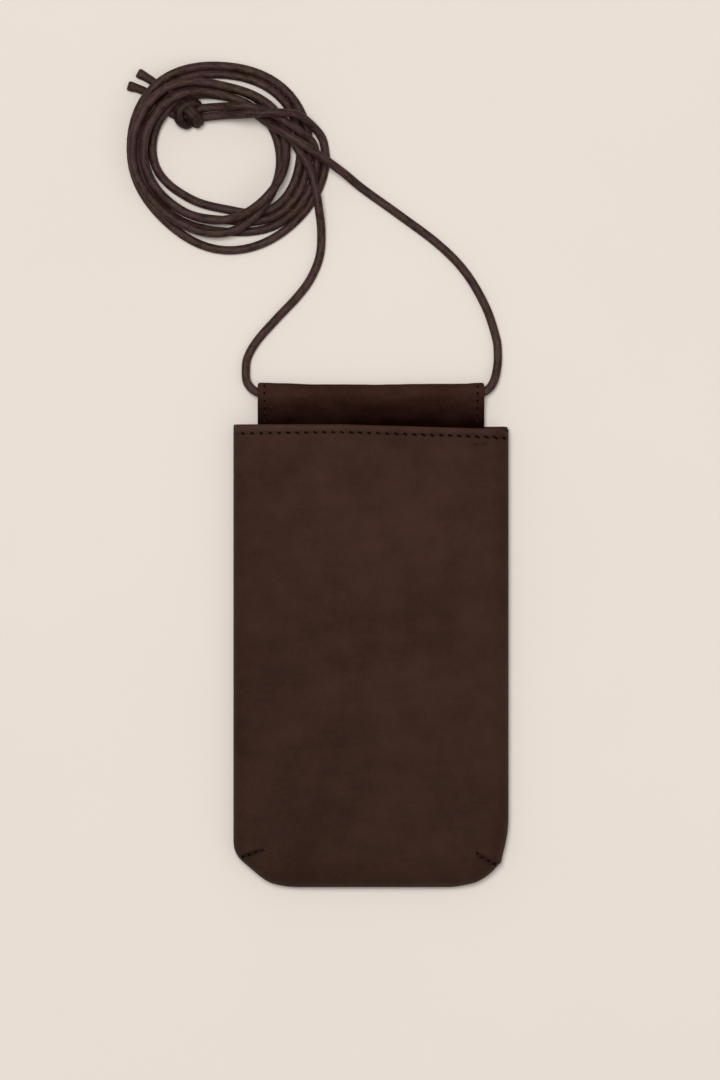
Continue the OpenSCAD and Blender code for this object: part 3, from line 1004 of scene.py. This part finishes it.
class TabShape:
    """Works out points of the strip that is folded over the cord, with depth counted inwards."""

    def __init__(self, sizes, leather):
        self.leather = leather / MM
        self.hem_width = sizes.hem_width / MM
        self.hem_extra = sizes.hem_extra / MM
        self.end_y = anchor_low.y / MM
        self.run = Vector((LOOP_Y - HINGE_Y, LOOP_Z - LEG_Z))
        self.loop_radius = LOOP_Z - tab_low.z / MM - self.hem_extra
        self.leg = HINGE_Y - self.end_y

    def thick(self, x):
        """Extra thickness at the side hems, which fades softly towards the middle."""
        inner = TAB_HALF - self.hem_width
        swell = SWELL_SHARE * (x / TAB_HALF) ** 2
        step = smooth_step(inner - HEM_STEP_INSIDE, inner + HEM_STEP_OUTSIDE, abs(x))
        return self.hem_extra * (swell + (1 - SWELL_SHARE) * step)

    def rolled(self, x):
        """How much the outer face draws in at the rolled side edges."""
        over = min(1.0, max(0.0, abs(x) - (TAB_HALF - ROLL_WIDTH)) / ROLL_WIDTH)
        return ROLL_DROP * (1 - math.sqrt(1 - over * over))

    def ripple(self, x, t):
        """Small waves over the tab, given by their length across, their number along, height and place."""
        return sum(
            height * noise.noise(Vector((x / across, t * number, start)))
            for across, number, height, start in RIPPLES)

    def half(self, t, x, depth):
        """Half thickness of the tab at share t from its sewn end to the middle of its loop."""
        spread = smooth_step(OPENS_FROM_SHARE, 1.0, t) * (self.loop_radius - self.leather)
        return self.leather + spread + self.thick(x) - depth

    def across(self, s):
        """Place across, with more columns near the rolled sides."""
        return math.sin((2 * s - 1) * SPREAD_ANGLE) / math.sin(SPREAD_ANGLE) * TAB_HALF

    def share_across(self, x):
        """The share that gives a place across."""
        return (math.asin(x / TAB_HALF * math.sin(SPREAD_ANGLE)) / SPREAD_ANGLE + 1) / 2

    def point(self, s, t, inner):
        """Goes up the back leaf, round the loop and down the front leaf."""
        x = self.across(s)
        depth = self.rolled(x) - self.ripple(x, t)
        if inner:
            depth = self.leather + self.thick(x) - LEAF_GAP
        leaf_share = (1 - LOOP_SHARE) / 2
        if t < leaf_share:
            return self.leaf(x, t / leaf_share, -1, depth)
        if t > 1 - leaf_share:
            return self.leaf(x, (1 - t) / leaf_share, 1, depth)
        angle = math.pi * ((t - leaf_share) / LOOP_SHARE - 0.5)
        radius = self.loop_radius + self.thick(x) - depth
        ahead = self.run.normalized()
        up = Vector((-ahead.y, ahead.x))
        centre = Vector((LOOP_Y, LOOP_Z))
        flat = centre + ahead * (radius + LOOP_EASE) * math.cos(angle) + up * radius * math.sin(angle)
        return Vector((x, flat.x, flat.y))

    def leaf(self, x, share, side, depth):
        """A point of one leaf, from its sewn end at share 0 to the loop at share 1."""
        total = self.leg + self.run.length
        length = share * total
        if length < self.leg:
            half = self.leather + self.thick(x) - depth
            return Vector((x, self.end_y + length, LEG_Z + side * half))
        t = (length - self.leg) / self.run.length
        middle = Vector((HINGE_Y, LEG_Z)) + self.run * t
        up = Vector((-self.run.y, self.run.x)).normalized()
        flat = middle + up * side * self.half(t, x, depth)
        return Vector((x, flat.x, flat.y))


def bend_at_hinge(piece):
    """Bakes the piece's place into its mesh; on the real pouch it is sewn fast below the hinge and swings
    above it.
    """
    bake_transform(piece)


class POUCH_OT_add_tab(bpy.types.Operator):
    """Add the hanger tab, folded over the cord and sewn inside the mouth"""

    bl_idname = "pouch.add_tab"
    bl_label = "Add Tab"

    def execute(self, context):
        shape = TabShape(context.scene.pouch_tab, context.scene.pouch_sizes.leather)

        def place(s, t, inner):
            return shape.point(s, t, inner) * MM

        mesh = shell_mesh("folded_tab", TAB_COLUMNS, TAB_ROWS, place)
        piece = new_piece("folded_tab", mesh, tab_leather(), None)
        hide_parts("hanger_tab", "tab_anchor")
        bend_at_hinge(piece)
        return {"FINISHED"}


class POUCH_OT_add_cord(bpy.types.Operator):
    """Add the cord: its run in the tab, both halves with their turns, and the two cut tails"""

    bl_idname = "pouch.add_cord"
    bl_label = "Add Cord"

    def execute(self, context):
        diameter = CORD_DIAMETER * MM
        self.add_core(diameter)
        left_tail = self.add_tail("tail_left", LEFT_TAIL, "left_tail", diameter)
        right_tail = self.add_tail("tail_right", RIGHT_TAIL, "right_tail", diameter)
        knot = self.add_knot(diameter)
        for name, lead, rows, first, end, nodes, tail in (
            ("cord_left", LEFT_LEAD, LEFT_TURNS, 0, LEFT_END, ("left_lead", "left_coil"), left_tail),
            ("cord_right", RIGHT_LEAD, RIGHT_TURNS, 1, RIGHT_END, ("right_lead", "right_coil"), right_tail),
        ):
            route = evened(cord_route(lead, rows, first, end, ROUTE_STEPS), CORD_STEP * MM)
            cord = new_piece(name, tube_mesh(name, route, diameter), cord_leather(), None)
            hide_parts(*nodes)
            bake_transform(cord)
            tuple(Vector(lead[2]) * MM)
            length_of(route)
        return {"FINISHED"}

    def add_core(self, diameter):
        """The straight run of the cord in the tab's fold."""
        route = [Vector((x, LOOP_Y, LOOP_Z)) * MM for x in (LEFT_LEAD[0][0], RIGHT_LEAD[0][0])]
        mesh = tube_mesh("cord_core", evened(route, CORD_STEP * MM), diameter)
        piece = new_piece("cord_core", mesh, cord_leather(), "tab")
        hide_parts("cord_in_tab")

    def add_tail(self, name, points, node, diameter):
        """A short free end of the cord behind the knot."""
        line = [Vector(p) * MM for p in smooth_line(points, ROUTE_STEPS) + [points[-1]]]
        mesh = tube_mesh(name, evened(line, TAIL_STEP * MM), diameter, self.cut_end)
        piece = new_piece(name, mesh, cord_leather(), "pouch")
        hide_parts(node)
        return piece

    def cut_end(self, i, last):
        """The end splays a little where it was cut, with its rim rounded."""
        from_end, to_end = SPLAY_STEPS
        splay = 1 + SPLAY * smooth_step(last - from_end, last - to_end, i)
        return splay * RIM_SHARES.get(last - i, 1)

    def add_knot(self, diameter):
        """Both strands tied in one overhand, drawn tight: two wraps round the strands they hold."""
        strand = diameter * KNOT_PRESS
        steps = KNOT_RING_STEPS
        bm = bmesh.new()
        for points in (LEFT_WRAP, RIGHT_WRAP):
            middle = sum((Vector(p) for p in points), Vector()) / len(points)
            ring = [Vector(p) for p in smooth_line(points + points[:3], steps)]
            for side in (-1, 1):
                line = []
                for i in range(steps - KNOT_LAP, len(ring) - steps):
                    along = (ring[i + 1] - ring[i - 1]).normalized()
                    across = along.cross((ring[i] - middle).normalized()).normalized()
                    line.append((ring[i] + KNOT_MIDDLE) * MM + across * side * strand * KNOT_APART)
                self.join_strand(bm, line, strand)
        for end, tail in ((LEFT_END, LEFT_TAIL), (RIGHT_END, RIGHT_TAIL)):
            self.join_strand(bm, [Vector(end[-1]) * MM, Vector(tail[0]) * MM], diameter)
        piece = new_piece("knot_tie", as_mesh("knot_tie", bm), knot_shaded_leather(), "pouch")
        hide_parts("knot")
        return piece

    def join_strand(self, bm, line, diameter):
        """Adds one closed tube to the knot."""
        part = tube_mesh("strand", evened(line, KNOT_STEP * MM), diameter)
        bm.from_mesh(part)
        bpy.data.meshes.remove(part)


def stitch_mesh(name, stitches):
    """Short rounded threads, each given by its middle, its direction, its upward side, length and width."""
    bm = bmesh.new()
    rise = bm.verts.layers.float.new("rise")
    for middle, along, up, length, width in stitches:
        made = bmesh.ops.create_uvsphere(bm, u_segments=10, v_segments=8, radius=0.5)
        across = up.cross(along).normalized()
        over = along.cross(across).normalized()
        for vertex in made["verts"]:
            x, y, z = vertex.co
            # The rise attribute marks the end of the thread that gets the painted highlight
            vertex[rise] = 1 - smooth_step(*HIGHLIGHT_END_SPAN, z)
            blunt = math.copysign(abs(2 * z) ** THREAD_BLUNTNESS, z) / 2
            place = middle + along * blunt * length + across * x * width
            vertex.co = place + over * y * width * THREAD_FLATNESS
    return as_mesh(name, bm)


class POUCH_OT_add_stitches(bpy.types.Operator):
    """Add the stitch rows of the mouth, the tab and the darts"""

    bl_idname = "pouch.add_stitches"
    bl_label = "Add Stitches"

    def execute(self, context):
        self.shape = PouchShape(context.scene.pouch_sizes)
        self.add_mouth_row(context.scene.pouch_sizes)
        self.add_dart_rows()
        self.add_tab_rows(context.scene)
        return {"FINISHED"}

    def on_front(self, x, y):
        """A point of the front's face and the upward side there, in metres."""
        half = self.shape.half_width(y, 0, x)
        here = self.shape.front(x / half, y, 0)
        beside = self.shape.front((x + FACE_STEP) / half, y, 0)
        above = self.shape.front(x / half, y + FACE_STEP, 0)
        up = (beside - here).cross(above - here).normalized()
        return here * MM, up

    def add_mouth_row(self, sizes):
        """A row under the mouth's edge, each stitch a little different in length and slope."""
        pitch = sizes.stitch_pitch / MM
        first = MOUTH_ROW_LEFT - HALF_WIDTH
        last = HALF_WIDTH - MOUTH_ROW_RIGHT
        stitches = []
        for i in range(round((last - first) / pitch) + 1):
            x = first + i * pitch
            share = x / HALF_WIDTH
            y = self.shape.mouth_y(share) - self.shape.row_inset(share)
            middle, up = self.on_front(x, y)
            turn = noise.noise(Vector((i * 1.7, 0.4, 2.2)))
            along = Vector((1, MOUTH_STITCH_SLOPE + MOUTH_STITCH_TURN * turn, 0)).normalized()
            pull = noise.noise(Vector((i * 1.3, 5.1, 0.6)))
            length = MOUTH_STITCH + MOUTH_STITCH_GROWTH * share + MOUTH_STITCH_PULL * pull
            lift = up * MOUTH_STITCH_LIFT * MM
            stitches.append((middle + lift, along, up, length * MM, MOUTH_STITCH_WIDTH * MM))
        mesh = stitch_mesh("mouth_stitches", stitches)
        new_piece("mouth_stitches", mesh, sewing_thread(), "pouch")

    def add_dart_rows(self):
        """A short row down each dart's crease, thinner towards its point."""
        for name, dart in (("dart_stitches_left", LEFT_DART), ("dart_stitches_right", RIGHT_DART)):
            stitches = []
            for k, (a, b) in enumerate(zip(dart, dart[1:])):
                spot = a.lerp(b, DART_STITCH_SHARE)
                middle, up = self.on_front(spot.x, spot.y)
                along = Vector((b.x - a.x, b.y - a.y, 0)).normalized()
                width = DART_STITCH_WIDTH * MM * (1 - DART_THINNING * k)
                stitches.append((middle + up * DART_STITCH_LIFT * MM, along, up, DART_STITCH * MM, width))
            new_piece(name, stitch_mesh(name, stitches), sewing_thread(), "pouch")

    def add_tab_rows(self, scene):
        """A row along each side hem, down both leaves from the middle of the loop."""
        shape = TabShape(scene.pouch_tab, scene.pouch_sizes.leather)
        inset = scene.pouch_tab.stitch_inset / MM
        pitch = scene.pouch_tab.stitch_pitch / MM
        for name, side in (("tab_stitches_left", -1), ("tab_stitches_right", 1)):
            s = shape.share_across(side * (TAB_HALF - inset))
            stitches = []
            for leaf in (1, -1):
                reach = 0.0
                t = 0.5 + leaf * TAB_WALK
                last = shape.point(s, t, 0)
                while abs(t - 0.5) < TAB_ROW_REACH:
                    t += leaf * TAB_WALK
                    here = shape.point(s, t, 0)
                    reach += (here - last).length
                    last = here
                    if reach >= pitch:
                        reach = 0.0
                        along = (shape.point(s, t + 2 * TAB_WALK, 0) - here).normalized()
                        up = Vector((1, 0, 0)).cross(along).normalized()
                        middle = here * MM + up * TAB_STITCH_LIFT * MM
                        stitches.append((middle, along, up, TAB_STITCH * MM, TAB_STITCH_WIDTH * MM))
            piece = new_piece(name, stitch_mesh(name, stitches), sewing_thread(), None)
            bend_at_hinge(piece)


class POUCH_PT_panel(bpy.types.Panel):
    """Lists the pouch's sizes, colours and pieces"""

    bl_label = "Phone Pouch"
    bl_idname = "POUCH_PT_panel"
    bl_space_type = "VIEW_3D"
    bl_region_type = "UI"
    bl_category = "Pouch"

    def draw(self, context):
        scene = context.scene
        for group in (scene.pouch_sizes, scene.pouch_tab, scene.pouch_colours):
            box = self.layout.box()
            for name in group.bl_rna.properties.keys():
                if name not in {"rna_type", "name"}:
                    box.prop(group, name)
        for operator in OPERATORS:
            self.layout.operator(operator.bl_idname)


GROUPS = (PouchSizes, TabSizes, PouchColours)
OPERATORS = (
    POUCH_OT_add_stage,
    POUCH_OT_add_cord,
    POUCH_OT_add_panels,
    POUCH_OT_add_tab,
    POUCH_OT_add_stitches,
)


def register():
    for cls in GROUPS + OPERATORS + (POUCH_PT_panel,):
        bpy.utils.register_class(cls)
    bpy.types.Scene.pouch_sizes = bpy.props.PointerProperty(type=PouchSizes)
    bpy.types.Scene.pouch_tab = bpy.props.PointerProperty(type=TabSizes)
    bpy.types.Scene.pouch_colours = bpy.props.PointerProperty(type=PouchColours)


def unregister():
    del bpy.types.Scene.pouch_colours
    del bpy.types.Scene.pouch_tab
    del bpy.types.Scene.pouch_sizes
    for cls in reversed(GROUPS + OPERATORS + (POUCH_PT_panel,)):
        bpy.utils.unregister_class(cls)


def main():
    register()
    bpy.ops.pouch.add_stage()
    bpy.ops.pouch.add_cord()
    bpy.ops.pouch.add_panels()
    bpy.ops.pouch.add_tab()
    bpy.ops.pouch.add_stitches()


if __name__ == "__main__":
    main()
